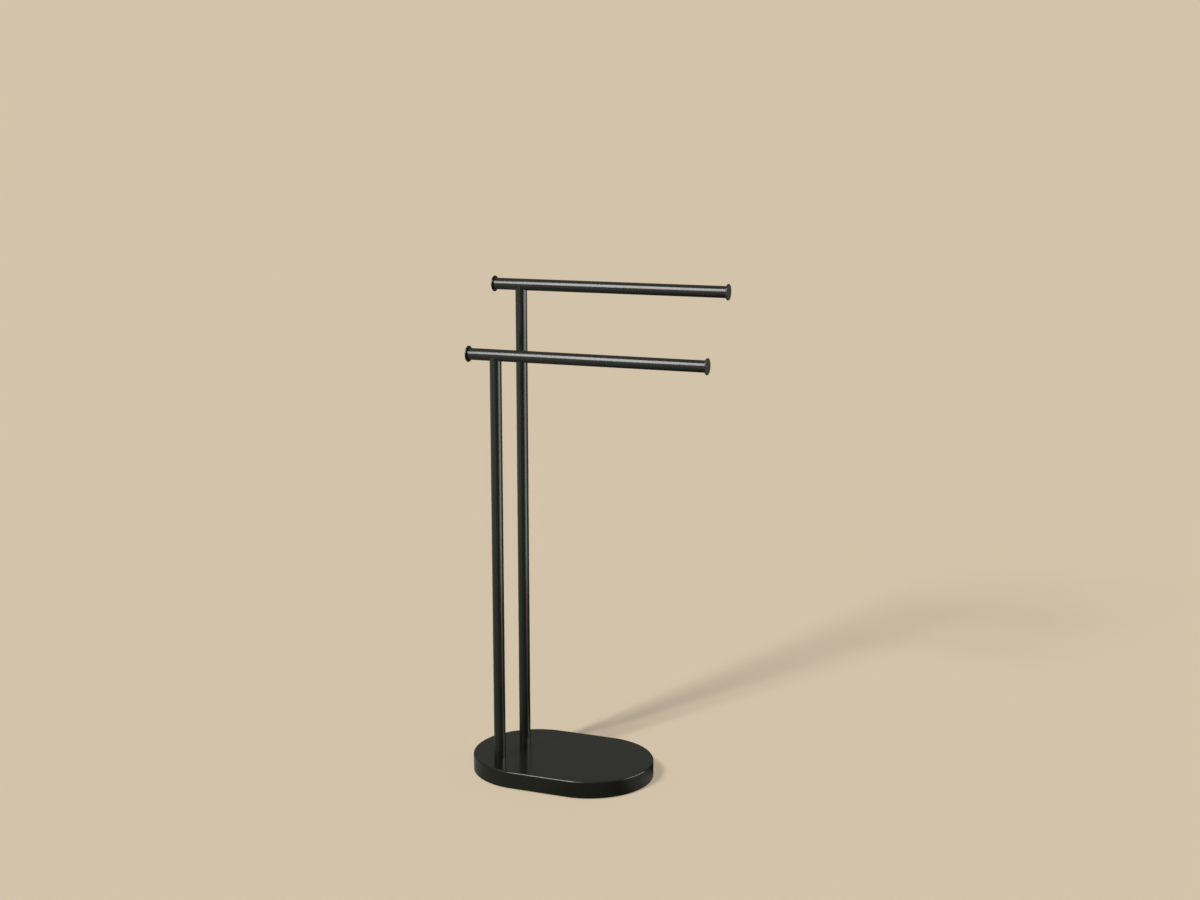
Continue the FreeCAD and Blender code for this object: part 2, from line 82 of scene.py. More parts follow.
# Widths of the patterns in the finishes, in metres
RUBBED_PATCH = 6.0 * MM
ZINC_BLOOM = 18.0 * MM
ZINC_SPANGLE = 3.5 * MM
TURNED_LINE = 0.35 * MM
ROLLED_LINE = 0.5 * MM
OXIDE_CLOUD = 5.0 * MM
BARE_SPOT = 1.2 * MM
OXIDE_GRAIN = 0.4 * MM
CEMENT_MOTTLE = 30.0 * MM
SAND_GRAIN = 0.9 * MM
BUBBLE_CELL = 7.0 * MM
RUBBER_CELL = 0.9 * MM
RUBBER_CLOUD = 25.0 * MM
LINT = 1.5 * MM

# Depths of the relief in the finishes, in metres
OXIDE_DEPTH = 0.01 * MM
CEMENT_DEPTH = 0.6 * MM
RUBBER_DEPTH = 0.12 * MM

# Stretch of the rolled lines along X, on sheets and on the nuts' drawn bar
SHEET_STRETCH = (0.04, 1.0, 1.0)
NUT_STRETCH = (0.06, 1.0, 1.0)

# Threads, in pitches: depth, and run-out under the head. As shares of a pitch: width of the flat at the foot
# of the ridge, and of its two flanks
THREAD_DEPTH = 0.61
THREAD_RUN_OUT = 1.5
THREAD_FOOT = 0.12
THREAD_FLANKS = 0.74

# Screw heads, in millimetres: depth of the slope at the mouth of the key's socket, start of the knurls past
# the round, their end short of the seat, the plain band at the seat, and the edge there
MOUTH_DEPTH = 0.25
KNURL_START = 0.4
KNURL_END = 0.6
PLAIN_BAND = 0.3
SEAT_EDGE = 0.05

# As shares: width of the mouth over the key's corners, and depth of a knurl in the head's radius
MOUTH_WIDTH = 1.04
KNURL_DEPTH = 0.018

# Points round a screw, rings in the round of its head and in one pitch, and where its edges stay sharp
SCREW_POINTS = 72
ROUND_RINGS = 7
THREAD_RINGS = 8
SHARP_ANGLE = math.radians(35.0)

# The floor: points round it, and the radii of its rings in metres
FLOOR_POINTS = 96
FLOOR_RADII = (0.05, 0.5, 1.5, 3.0, 6.0, 12.0)

# Levels that the coat mirrors: the first level, then steps of a start, an end and the change between them.
# The floor's go by the distance from the middle of the stand in metres, and are painted light and shade in
# the floor's colour that only glossy rays see; the world's go by the height of a direction
PAINTED_FLOOR_LEVEL = (0.10, (0.3, 2.0, 0.12))
PAINTED_LIGHT_LEFT = (0.11, (0.15, 0.4, 0.14), (0.4, 4.0, 0.3))
PAINTED_LIGHT_RIGHT = (0.24, (0.19, 0.33, 0.25), (0.3, 0.65, 0.4))
MIRRORED_WORLD = (0.12, (0.0, 0.36, 0.07), (0.4, 1.0, 0.2))

# Where the keys come from, seen from above, their distance in metres, and the width of the camera's sensor
KEY_SIDE = (-0.375, -0.927)
KEY_DISTANCE = 4.0
SENSOR_WIDTH = 36.0


class Value:
    """A socket of a finish. Arithmetic on it adds Math nodes and gives new values."""

    def __init__(self, finish, socket):
        self.finish = finish
        self.socket = socket

    def __add__(self, other):
        return self.finish.math("ADD", self, other)

    __radd__ = __add__

    def __sub__(self, other):
        return self.finish.math("SUBTRACT", self, other)

    def __rsub__(self, other):
        return self.finish.math("SUBTRACT", other, self)

    def __mul__(self, other):
        return self.finish.math("MULTIPLY", self, other)

    __rmul__ = __mul__

    def __truediv__(self, other):
        return self.finish.math("DIVIDE", self, other)


class Finish:
    """A node tree being made: a material's or the world's."""

    def __init__(self, owner):
        self.owner = owner
        owner.use_nodes = True
        self.tree = owner.node_tree
        self.tree.nodes.clear()

    def node(self, kind, settings=None, inputs=None, output=0):
        """Adds a node: its settings first, then the values or links of its sockets, by name or number."""
        made = self.tree.nodes.new(kind)
        for key, value in (settings or {}).items():
            setattr(made, key, value)
        for key, value in (inputs or {}).items():
            self.join(made.inputs[key], value)
        return Value(self, made.outputs[output]) if made.outputs else made

    def join(self, socket, value):
        if isinstance(value, Value):
            self.tree.links.new(value.socket, socket)
        else:
            socket.default_value = value

    def math(self, operation, *values):
        return self.node("ShaderNodeMath", {"operation": operation}, dict(enumerate(values)))

    def smooth(self, value, start, end):
        """0 before start, 1 after end, and a smooth step between them."""
        return self.node(
            "ShaderNodeMapRange", {"interpolation_type": "SMOOTHSTEP"},
            {"Value": value, "From Min": start, "From Max": end},
        )

    def stepped(self, value, level, *steps):
        """A level that changes smoothly with a value: each step is a start, an end and the change."""
        for start, end, change in steps:
            level = level + self.smooth(value, start, end) * change
        return level

    def length(self, x, y):
        """Length of the vector x, y."""
        return self.math("SQRT", x * x + y * y)

    def ray(self, kind):
        """1 on rays of a kind, such as Is Camera Ray, and 0 on all others."""
        return self.node("ShaderNodeLightPath", output=kind)

    def place(self, stretch=(1.0, 1.0, 1.0)):
        """The point of the piece in its own frame, in metres, stretched along the axes."""
        own = self.node("ShaderNodeTexCoord", output="Object")
        return self.node("ShaderNodeMapping", {}, {"Vector": own, "Scale": stretch})

    def axes(self, vector):
        """The three coordinates of a vector as values."""
        parts = self.tree.nodes.new("ShaderNodeSeparateXYZ")
        self.join(parts.inputs[0], vector)
        return [Value(self, parts.outputs[i]) for i in range(3)]

    def noise(self, vector, size, detail=2.0, roughness=0.5):
        """Soft random values from 0 to 1 whose blotches are about size metres wide."""
        return self.node(
            "ShaderNodeTexNoise", {},
            {"Vector": vector, "Scale": 1.0 / size, "Detail": detail, "Roughness": roughness},
        )

    def cells(self, vector, size):
        """Distance from the centres of random cells about size metres wide."""
        return self.node("ShaderNodeTexVoronoi", {"feature": "F1"}, {"Vector": vector, "Scale": 1.0 / size})

    def mix(self, share, first, second):
        """One colour, turning into another as share goes from 0 to 1."""
        inputs = {0: share, 6: first, 7: second}
        return self.node("ShaderNodeMix", {"data_type": "RGBA"}, inputs, output=2)

    def bump(self, height, depth):
        """Relief whose height of 1 stands depth metres proud."""
        return self.node("ShaderNodeBump", {}, {"Strength": 1.0, "Distance": depth, "Height": height})

    def surface(self, shader):
        """Ends a material in this shader, and gives the material."""
        self.node("ShaderNodeOutputMaterial", {}, {"Surface": shader})
        return self.owner

    def solid(self, colour, roughness, relief, metallic=0.0):
        """Ends a material in a skin that lets no light through, and gives the material."""
        inputs = {"Base Color": colour, "Metallic": metallic, "Roughness": roughness, "Normal": relief}
        return self.surface(self.node("ShaderNodeBsdfPrincipled", {}, inputs))


def new_finish(name):
    """A new material's finish, and the point of the piece that its patterns follow."""
    finish = Finish(bpy.data.materials.new(name))
    return finish, finish.place()


def opaque(colour):
    """A colour with its alpha, as a socket takes it."""
    return (*colour, 1.0)


def grey(level):
    return opaque((level, level, level))


def tinted(colour, factor):
    """A colour made lighter or darker."""
    return opaque(min(1.0, channel * factor) for channel in colour)


def dress(names, material):
    """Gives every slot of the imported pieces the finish."""
    for name in names:
        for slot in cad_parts[name].material_slots:
            slot.material = material


# --- Edges, where a coat is thinner and gets rubbed: each function gives a mask from 0 to 1 ---


def base_edges(finish, place):
    """Top round and bottom rim of the base, from the distance to its stadium outline."""
    low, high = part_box("base_cover")
    half_straight = high.x - high.y
    x, y, z = finish.axes(place)
    beyond = finish.math("MAXIMUM", finish.math("ABSOLUTE", x) - half_straight, 0.0)
    from_axis = finish.length(beyond, y)
    outer = finish.smooth(from_axis, high.y - 4.0 * MM, high.y - 0.5 * MM)
    top = finish.smooth(z, high.z - 3.2 * MM, high.z - 0.6 * MM)
    rim = 1.0 - finish.smooth(z, low.z + 0.2 * MM, low.z + 1.6 * MM)
    return outer * finish.math("MAXIMUM", top * (1.0 - finish.smooth(z, high.z - 0.5 * MM, high.z)), rim)


def post_edges(finish, place):
    """Lower end of a post, against the base."""
    z = finish.axes(place)[2]
    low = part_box("front_post")[0]
    return 1.0 - finish.smooth(z, low.z + 0.4 * MM, low.z + 2.0 * MM)


def bar_edges(finish, place):
    """The last millimetres of a bar, against its caps."""
    low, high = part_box("lower_bar")
    x = finish.axes(place)[0]
    left = 1.0 - finish.smooth(x, low.x + 0.5 * MM, low.x + 2.0 * MM)
    return finish.math("MAXIMUM", left, finish.smooth(x, high.x - 2.0 * MM, high.x - 0.5 * MM))


def cap_edges(finish, place):
    """Rims of the caps: the outer millimetre round the axis of either bar."""
    y, z = finish.axes(place)[1:]
    masks = []
    for name in ("lower_bar_left_cap", "upper_bar_left_cap"):
        low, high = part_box(name)
        dy = y - (low.y + high.y) / 2
        dz = z - (low.z + high.z) / 2
        radius = (high.z - low.z) / 2
        from_axis = finish.length(dy, dz)
        near = 1.0 - finish.smooth(from_axis, radius + 1.0 * MM, radius + 2.0 * MM)
        masks.append(near * finish.smooth(from_axis, radius - 1.2 * MM, radius - 0.2 * MM))
    return finish.math("MAXIMUM", *masks)


def black_coat(look, name, find_edges, mean_roughness):
    """Satin black powder coat: orange peel, fine grain, clouded gloss and faintly rubbed edges."""
    finish, place = new_finish(name)
    cloud = finish.noise(place, look.cloud_size, detail=3.0)
    peel = finish.noise(place, look.peel_size, detail=1.0)
    grain = finish.noise(place, look.grain_size, detail=2.0, roughness=0.6)
    rubbed = find_edges(finish, place) * finish.smooth(finish.noise(place, RUBBED_PATCH, 3.0), 0.45, 0.7)
    rubbed = rubbed * look.rubbing
    tone = finish.mix(grain * 0.6 + cloud * 0.4, tinted(look.colour, 0.7), tinted(look.colour, 1.35))
    colour = finish.mix(rubbed, tone, opaque(look.rubbed_colour))
    roughness = mean_roughness + (cloud - 0.5) * 0.06 + (grain - 0.5) * 0.04 - rubbed * 0.05
    relief = finish.bump(peel * 0.7 + grain * 0.3, look.peel_depth)
    return finish.solid(colour, roughness, relief)


def zinc_steel(look, name, grain_stretch=None, rings_round=None):
    """Zinc-plated steel: a bluish and yellowish bloom, spangled gloss, and rolled or turned lines.

    Rolled lines are noise stretched along the grain. Turned lines are noise on the distance from the nearer
    of two axes, the given one and its mirror image at the front.
    """
    finish, place = new_finish(name)
    bloom = finish.noise(place, ZINC_BLOOM, detail=3.0)
    spangle = finish.cells(place, ZINC_SPANGLE)
    if rings_round:
        x, y, z = finish.axes(place)
        dx = x - rings_round[0]
        dy = finish.math("ABSOLUTE", y) - rings_round[1]
        from_axis = finish.length(dx, dy)
        steps = finish.node("ShaderNodeCombineXYZ", {}, {"X": from_axis, "Y": z})
        lines = finish.noise(steps, TURNED_LINE, detail=2.0)
    else:
        lines = finish.noise(finish.place(grain_stretch), ROLLED_LINE, detail=2.0)
    tone = finish.mix(bloom, opaque(look.cool), opaque(look.warm))
    colour = finish.mix(spangle * 0.35, tone, tinted(look.cool, 0.72))
    roughness = look.roughness + (bloom - 0.5) * 0.12 + (lines - 0.5) * 0.15
    relief = finish.bump(lines, look.line_depth)
    return finish.solid(colour, roughness, relief, metallic=1.0)


def black_steel(look, name):
    """Blackened screw steel: uneven oxide with bare metal showing through in small spots, oily gloss."""
    finish, place = new_finish(name)
    cloud = finish.noise(place, OXIDE_CLOUD, detail=3.0)
    spots = finish.smooth(finish.noise(place, BARE_SPOT, detail=3.0), 0.62, 0.75)
    tone = finish.mix(cloud, tinted(look.oxide, 0.7), tinted(look.oxide, 1.4))
    colour = finish.mix(spots * 0.5, tone, opaque(look.bare))
    roughness = look.oxide_roughness + (cloud - 0.5) * 0.15 - spots * 0.1
    relief = finish.bump(finish.noise(place, OXIDE_GRAIN), OXIDE_DEPTH)
    return finish.solid(colour, roughness, relief, metallic=0.85)


def cement(look, name):
    """Cast cement: mottled grey with sand grains, and pores from air bubbles that are dented and painted
    darker as shade.
    """
    finish, place = new_finish(name)
    mottle = finish.noise(place, CEMENT_MOTTLE, detail=5.0, roughness=0.6)
    sand = finish.noise(place, SAND_GRAIN, detail=2.0)
    bubbles = finish.cells(place, BUBBLE_CELL)
    shaded_pore = 1.0 - finish.smooth(bubbles, 0.10, 0.20)
    tone = finish.mix(mottle, tinted(look.colour, 0.72), tinted(look.colour, 1.3))
    tone = finish.mix(finish.smooth(sand, 0.55, 0.75) * 0.5, tone, opaque(look.sand))
    # The pores are painted darker here: painted shade in their hollows
    colour = finish.mix(shaded_pore * 0.8, tone, tinted(look.colour, 0.35))
    roughness = 0.85 + (sand - 0.5) * 0.2
    relief = finish.bump(mottle * 0.3 + sand * 0.2 - shaded_pore * 0.5, CEMENT_DEPTH)
    return finish.solid(colour, roughness, relief)


def pad_rubber(look, name):
    """Closed-cell rubber sheet: fine cells with a dull skin and a little lint."""
    finish, place = new_finish(name)
    cells = finish.cells(place, RUBBER_CELL)
    cloud = finish.noise(place, RUBBER_CLOUD, detail=4.0)
    lint = finish.smooth(finish.noise(place, LINT, detail=4.0), 0.64, 0.8)
    tone = finish.mix(cells * 0.5 + cloud * 0.5, tinted(look.rubber, 0.7), tinted(look.rubber, 1.4))
    colour = finish.mix(lint * 0.4, tone, grey(0.09))
    roughness = 0.78 + (cloud - 0.5) * 0.15
    return finish.solid(colour, roughness, finish.bump(cells, RUBBER_DEPTH))


# --- Screws with real threads ---


def closed_surface(name, rings, first_pole, last_pole):
    """A skin over an array of rings (rings, points round, 3) that run anticlockwise, seen from the last pole.

    Neighbouring rings are joined by quads, and each end closes on its pole with a fan.
    """
    count, around = rings.shape[:2]
    points = np.concatenate([rings.reshape(-1, 3), [first_pole, last_pole]])
    here = np.arange(around)
    there = np.roll(here, -1)
    start = np.arange(count - 1)[:, None] * around
    quads = np.stack([start + here, start + there, start + around + there, start + around + here], -1)
    end = (count - 1) * around
    first = np.stack([np.full(around, count * around), there, here], -1)
    last = np.stack([np.full(around, count * around + 1), end + here, end + there], -1)
    loops = np.concatenate([quads.ravel(), first.ravel(), last.ravel()])
    sides = np.concatenate([np.full(quads.size // 4, 4), np.full(2 * around, 3)])
    mesh = bpy.data.meshes.new(name)
    mesh.vertices.add(len(points))
    mesh.vertices.foreach_set("co", points.astype(np.float32).ravel())
    mesh.loops.add(len(loops))
    mesh.loops.foreach_set("vertex_index", loops.astype(np.int32))
    mesh.polygons.add(len(sides))
    mesh.polygons.foreach_set("loop_start", np.concatenate([[0], np.cumsum(sides)[:-1]]).astype(np.int32))
    mesh.update(calc_edges=True)
    mesh.validate()
    mesh.shade_smooth()
    mesh.set_sharp_from_angle(angle=SHARP_ANGLE)
    return mesh


def screw_rings(screw):
    """Rings of a socket head screw that points up, the seat of its head at height zero, in millimetres.

    The radius is a function of the height along the profile and the angle round the axis: a hexagon inside
    the key's socket, a knurled circle on the head, and on the shank a ridge that climbs one pitch a turn.
    """
    angle = np.linspace(0.0, 2.0 * np.pi, SCREW_POINTS, endpoint=False)
    head, height, edge = screw["head"] / 2, screw["height"], screw["round"]
    corner = screw["key"] / math.sqrt(3.0)
    flat = screw["key"] / 2 / np.cos((angle + np.pi / 6) % (np.pi / 3) - np.pi / 6)
    circle = np.ones_like(angle)
    knurl = circle - KNURL_DEPTH * np.abs(np.sin(angle * screw["knurls"] / 2))
    rows = [
        (flat, -height + screw["key_depth"]), (flat, -height + MOUTH_DEPTH),
        (circle * corner * MOUTH_WIDTH, -height),
    ]
    for turn in np.linspace(0.0, np.pi / 2, ROUND_RINGS):
        rows.append((circle * (head - edge + edge * math.sin(turn)), -height + edge - edge * math.cos(turn)))
    if screw["knurls"]:
        rows += [
            (knurl * head, -height + edge + KNURL_START), (knurl * head, -KNURL_END),
            (circle * head, -PLAIN_BAND),
        ]
    rows += [(circle * head, -SEAT_EDGE), (circle * (head - SEAT_EDGE), 0.0)]
    radii, heights = zip(*rows)
    major, pitch, length = screw["shank"] / 2, screw["pitch"], screw["length"]
    depth = THREAD_DEPTH * pitch
    climb = np.arange(0.0, length - screw["tip"] + 1e-6, pitch / THREAD_RINGS)
    phase = (climb[:, None] / pitch - angle[None, :] / (2 * np.pi)) % 1.0
    ridge = np.clip((1.0 - np.abs(2.0 * phase - 1.0) - THREAD_FOOT) / THREAD_FLANKS, 0.0, 1.0)
    fade = np.clip(climb / (THREAD_RUN_OUT * pitch), 0.0, 1.0)[:, None]
    thread = major - depth * fade * (1.0 - ridge)
    point = np.minimum(thread[-1], major - screw["tip"])
    radii = np.concatenate([radii, thread, [point]])
    heights = np.concatenate([heights, climb, [length]])
    flat_points = np.stack([radii * np.cos(angle), radii * np.sin(angle)], -1)
    tall = np.broadcast_to(heights[:, None, None], (*radii.shape, 1))
    return np.concatenate([flat_points, tall], -1)


def make_screws(name, screw, spots, material):
    """One piece of like screws, with their head seats at the spots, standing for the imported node."""
    rings = screw_rings(screw)
    socket_floor = -screw["height"] + screw["key_depth"]
    made = []
    for spot in spots:
        at = np.array(spot)
        mesh = closed_surface(
            name, rings * MM + at, at + (0.0, 0.0, socket_floor * MM), at + (0.0, 0.0, screw["length"] * MM)
        )
        made.append(bpy.data.objects.new(name, mesh))
    for piece in made:
        bpy.context.collection.objects.link(piece)
    whole = made[0]
    if len(made) > 1:
        with bpy.context.temp_override(active_object=whole, selected_editable_objects=made):
            bpy.ops.object.join()
    whole.name = name + "_threaded"
    whole.data.materials.append(material)
    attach(whole, "root")
    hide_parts(name)


class CoatLook(PropertyGroup):
    colour: FloatVectorProperty(
        name="Colour", description="Colour of the coat", subtype="COLOR", default=(0.0052, 0.0058, 0.0031),
        min=0.0, max=1.0,
    )
    rubbed_colour: FloatVectorProperty(
        name="Rubbed colour", description="Colour of the coat where edges are rubbed", subtype="COLOR",
        default=(0.020, 0.020, 0.019), min=0.0, max=1.0,
    )
    rubbing: FloatProperty(
        name="Rubbing", description="How much the edges are rubbed", subtype="FACTOR", default=0.5,
        min=0.0, max=1.0,
    )
    tube_roughness: FloatProperty(
        name="Tube roughness", description="Mean roughness of the coat on the posts, bars and caps",
        subtype="FACTOR", default=0.22, min=0.0, max=1.0,
    )
    base_roughness: FloatProperty(
        name="Base roughness", description="Mean roughness of the coat on the base", subtype="FACTOR",
        default=0.17, min=0.0, max=1.0,
    )
    cloud_size: FloatProperty(
        name="Cloud size", description="Width of the soft changes in gloss", unit="LENGTH", default=0.07,
    )
    peel_size: FloatProperty(
        name="Peel size", description="Width of one dimple of the orange peel", unit="LENGTH",
        default=0.0018, precision=4,
    )
    peel_depth: FloatProperty(
        name="Peel depth", description="Depth of the orange peel", unit="LENGTH",
        default=0.00002, precision=6,
    )
    grain_size: FloatProperty(
        name="Grain size", description="Width of one grain of the powder", unit="LENGTH",
        default=0.0005, precision=5,
    )


class SteelLook(PropertyGroup):
    cool: FloatVectorProperty(
        name="Cool zinc", description="Bluish side of the plating", subtype="COLOR",
        default=(0.50, 0.53, 0.56), min=0.0, max=1.0,
    )
    warm: FloatVectorProperty(
        name="Warm zinc", description="Yellowish side of the plating", subtype="COLOR",
        default=(0.60, 0.57, 0.48), min=0.0, max=1.0,
    )
    roughness: FloatProperty(
        name="Zinc roughness", description="Mean roughness of the plating", subtype="FACTOR", default=0.36,
        min=0.0, max=1.0,
    )
    line_depth: FloatProperty(
        name="Line depth", description="Depth of rolled and turned lines", unit="LENGTH",
        default=0.00001, precision=6,
    )
    oxide: FloatVectorProperty(
        name="Oxide", description="Colour of the blackened screws", subtype="COLOR",
        default=(0.022, 0.022, 0.024), min=0.0, max=1.0,
    )
    bare: FloatVectorProperty(
        name="Bare steel", description="Steel that shows through the oxide", subtype="COLOR",
        default=(0.16, 0.155, 0.15), min=0.0, max=1.0,
    )
    oxide_roughness: FloatProperty(
        name="Oxide roughness", description="Mean roughness of the screws", subtype="FACTOR", default=0.42,
        min=0.0, max=1.0,
    )


class FillingLook(PropertyGroup):
    colour: FloatVectorProperty(
        name="Cement", description="Colour of the ballast", subtype="COLOR",
        default=(0.30, 0.29, 0.27), min=0.0, max=1.0,
    )
    sand: FloatVectorProperty(
        name="Sand", description="Colour of the sand grains", subtype="COLOR",
        default=(0.46, 0.42, 0.35), min=0.0, max=1.0,
    )
    rubber: FloatVectorProperty(
        name="Rubber", description="Colour of the pad", subtype="COLOR",
        default=(0.018, 0.018, 0.018), min=0.0, max=1.0,
    )


class StudioLook(PropertyGroup):
    floor_colour: FloatVectorProperty(
        name="Floor", description="Colour of the floor and the backdrop", subtype="COLOR",
        default=(0.651, 0.546, 0.402), min=0.0, max=1.0,
    )
    mirrored: FloatVectorProperty(
        name="Mirrored studio", description="Tint of what the coat mirrors, at full level", subtype="COLOR",
        default=(0.98, 1.0, 0.91), min=0.0, max=1.0,
    )
    tall_key: FloatProperty(
        name="Tall key", description="Share of the floor's light from the lamp that the posts shade",
        subtype="FACTOR", default=0.55, min=0.0, max=1.0,
    )
    low_key: FloatProperty(
        name="Low key", description="Share of the floor's light from the lamp that the base shades",
        subtype="FACTOR", default=0.34, min=0.0, max=1.0,
    )
    fill: FloatProperty(
        name="Fill", description="Share of the floor's light that comes evenly from all round",
        subtype="FACTOR", default=0.11, min=0.0, max=1.0,
    )
    softbox: FloatProperty(
        name="Softbox", description="Radiance of the large softbox, high at the front left", default=12.0,
        min=0.0,
    )
    side_panel: FloatProperty(
        name="Side panel", description="Radiance of the panel that stands at the right", default=2.7, min=0.0,
    )
    back_panel: FloatProperty(
        name="Back panel", description="Radiance of the panel at the back right", default=4.2, min=0.0,
    )


class ShotLook(PropertyGroup):
    lens: FloatProperty(name="Lens", description="Focal length of the camera", unit="CAMERA", default=51.517)
    place: FloatVectorProperty(
        name="Place", description="Where the camera stands", subtype="XYZ", unit="LENGTH",
        default=(1.1056006, -2.6456898, 1.1299367),
    )
    turn: FloatProperty(
        name="Turn", description="Angle to the left of straight ahead", subtype="ANGLE", default=0.373203,
    )
    tilt: FloatProperty(
        name="Tilt", description="Angle below level", subtype="ANGLE", default=0.190693,
    )


class StandLook(PropertyGroup):
    coat: PointerProperty(type=CoatLook)
    steel: PointerProperty(type=SteelLook)
    filling: PointerProperty(type=FillingLook)
    studio: PointerProperty(type=StudioLook)
    shot: PointerProperty(type=ShotLook)


class STAND_OT_base(Operator):
    """Coats the cover of the base"""

    bl_idname = "towel_stand.base"
    bl_label = "Coat the base"

    def execute(self, context):
        look = context.scene.towel_stand.coat
        dress(BASE, black_coat(look, "base_coat", base_edges, look.base_roughness))
        return {"FINISHED"}


class STAND_OT_posts(Operator):
    """Coats the two posts"""

    bl_idname = "towel_stand.posts"
    bl_label = "Coat the posts"

    def execute(self, context):
        look = context.scene.towel_stand.coat
        dress(POSTS, black_coat(look, "post_coat", post_edges, look.tube_roughness))
        return {"FINISHED"}


class STAND_OT_bars(Operator):
    """Coats the two towel bars"""

    bl_idname = "towel_stand.bars"
    bl_label = "Coat the bars"

    def execute(self, context):
        look = context.scene.towel_stand.coat
        dress(BARS, black_coat(look, "bar_coat", bar_edges, look.tube_roughness))
        return {"FINISHED"}


class STAND_OT_caps(Operator):
    """Coats the four end caps"""

    bl_idname = "towel_stand.caps"
    bl_label = "Coat the end caps"

    def execute(self, context):
        look = context.scene.towel_stand.coat
        dress(CAPS, black_coat(look, "cap_coat", cap_edges, look.tube_roughness))
        return {"FINISHED"}


class STAND_OT_steel(Operator):
    """Finishes the plated steel pieces inside the base, the posts and the bars"""

    bl_idname = "towel_stand.steel"
    bl_label = "Finish the plated steel"

    def execute(self, context):
        look = context.scene.towel_stand.steel
        low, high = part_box("rear_mount_disc")
        axis = ((low.x + high.x) / 2, (low.y + high.y) / 2)
        dress(SHEET_STEEL, zinc_steel(look, "sheet_zinc", grain_stretch=SHEET_STRETCH))
        dress(NUTS, zinc_steel(look, "nut_zinc", grain_stretch=NUT_STRETCH))
        dress(TURNED_STEEL, zinc_steel(look, "turned_zinc", rings_round=axis))
        return {"FINISHED"}


class STAND_OT_screws(Operator):
    """Makes the screws with their threads, knurled heads and key sockets"""

    bl_idname = "towel_stand.screws"
    bl_label = "Make the screws"

    def execute(self, context):
        steel = black_steel(context.scene.towel_stand.steel, "screw_oxide")
        for post in ("front", "rear"):
            for kind, screw in (("post_bolt", POST_BOLT), ("joint_screw", JOINT_SCREW)):
                low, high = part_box(f"{post}_{kind}")
                seat = ((low.x + high.x) / 2, (low.y + high.y) / 2, low.z + screw["height"] * MM)
                make_screws(f"{post}_{kind}", screw, [seat], steel)
        low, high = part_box("bottom_plate_screws")
        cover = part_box("base_cover")[1]
        arc = cover.x - cover.y
        radius = high.x - arc - PLATE_SCREW["head"] / 2 * MM
        seat = low.z + PLATE_SCREW["height"] * MM
        angle = math.asin((high.y - PLATE_SCREW["head"] / 2 * MM) / radius)
        spots = [
            (side * (arc + radius * math.cos(turn)), radius * math.sin(turn), seat)
            for side in (-1, 1) for turn in (-angle, 0.0, angle)
        ]
        make_screws("bottom_plate_screws", PLATE_SCREW, spots, steel)
        return {"FINISHED"}


class STAND_OT_filling(Operator):
    """Finishes the ballast in the base and the pad under it"""

    bl_idname = "towel_stand.filling"
    bl_label = "Finish the ballast and the pad"

    def execute(self, context):
        look = context.scene.towel_stand.filling
        dress(("ballast_block",), cement(look, "cast_cement"))
        dress(("anti_slip_pad",), pad_rubber(look, "cell_rubber"))
        return {"FINISHED"}


def left_glow(finish, sideways, forwards):
    """How far a level direction points to the bright left front of the studio, from 0 to 1."""
    return finish.smooth(sideways * -0.766 + forwards * -0.643, 0.35, 0.85)


def make_floor(look):
    """A round floor: rings of points at growing radii, the outer ones fading into the backdrop's colour."""
    radii = np.array(FLOOR_RADII)[:, None]
    around = np.arange(FLOOR_POINTS)
    angle = np.linspace(0.0, 2.0 * np.pi, FLOOR_POINTS, endpoint=False)
    rings = np.stack(
        [radii * np.cos(angle), radii * np.sin(angle), np.zeros((len(radii), FLOOR_POINTS))], -1
    )
    faces = []
    for ring in range(len(radii) - 1):
        here = ring * FLOOR_POINTS + around
        there = ring * FLOOR_POINTS + np.roll(around, -1)
        faces += np.stack([here, here + FLOOR_POINTS, there + FLOOR_POINTS, there], -1).tolist()
    faces.append(around.tolist())
    mesh = bpy.data.meshes.new("floor")
    mesh.from_pydata(rings.reshape(-1, 3).tolist(), [], faces)
    floor = bpy.data.objects.new("floor", mesh)
    bpy.context.collection.objects.link(floor)
    finish, place = new_finish("paper_floor")
    x, y = finish.axes(place)[:2]
    colour = opaque(look.floor_colour)
    from_stand = finish.length(x, y)
    sideways, forwards = x / from_stand, y / from_stand
    # What the coat mirrors, painted into the floor's colour for glossy rays: a dim painted level all round,
    # painted shade just behind the stand, and painted light to the left and the right
    painted_shade_behind = finish.smooth(forwards, 0.1, 0.4) * (1.0 - finish.smooth(from_stand, 0.22, 0.4))
    front = finish.stepped(from_stand, *PAINTED_FLOOR_LEVEL) * (1.0 - painted_shade_behind * 0.75)
    left = left_glow(finish, sideways, forwards) * finish.stepped(from_stand, *PAINTED_LIGHT_LEFT)
    painted_light_beside = finish.smooth(forwards, -0.41, -0.2) * (1.0 - finish.smooth(forwards, 0.05, 0.42))
    right = finish.smooth(sideways, 0.2, 0.6) * painted_light_beside * finish.stepped(from_stand, *PAINTED_LIGHT_RIGHT)
    mirrored = finish.mix(front + left + right, grey(0.0), opaque(look.mirrored))
    seen = finish.mix(finish.ray("Is Glossy Ray"), colour, mirrored)
    lit = finish.node("ShaderNodeBsdfDiffuse", {}, {"Color": seen})
    plain = finish.node("ShaderNodeEmission", {}, {"Color": colour, "Strength": 1.0})
    far = finish.smooth(from_stand, 1.6, 4.5)
    share = far * finish.ray("Is Camera Ray")
    mixed = finish.node("ShaderNodeMixShader", {}, {0: share, 1: lit, 2: plain})
    mesh.materials.append(finish.surface(mixed))


def add_lamp(name, kind, target, direction, distance, **settings):
    """A lamp that looks at the target from a direction."""
    lamp = bpy.data.lights.new(name, kind)
    for key, value in settings.items():
        setattr(lamp, key, value)
    holder = bpy.data.objects.new(name, lamp)
    bpy.context.collection.objects.link(holder)
    towards = Vector(direction).normalized()
    holder.location = Vector(target) + towards * distance
    holder.rotation_euler = towards.to_track_quat("Z", "Y").to_euler()
    return holder


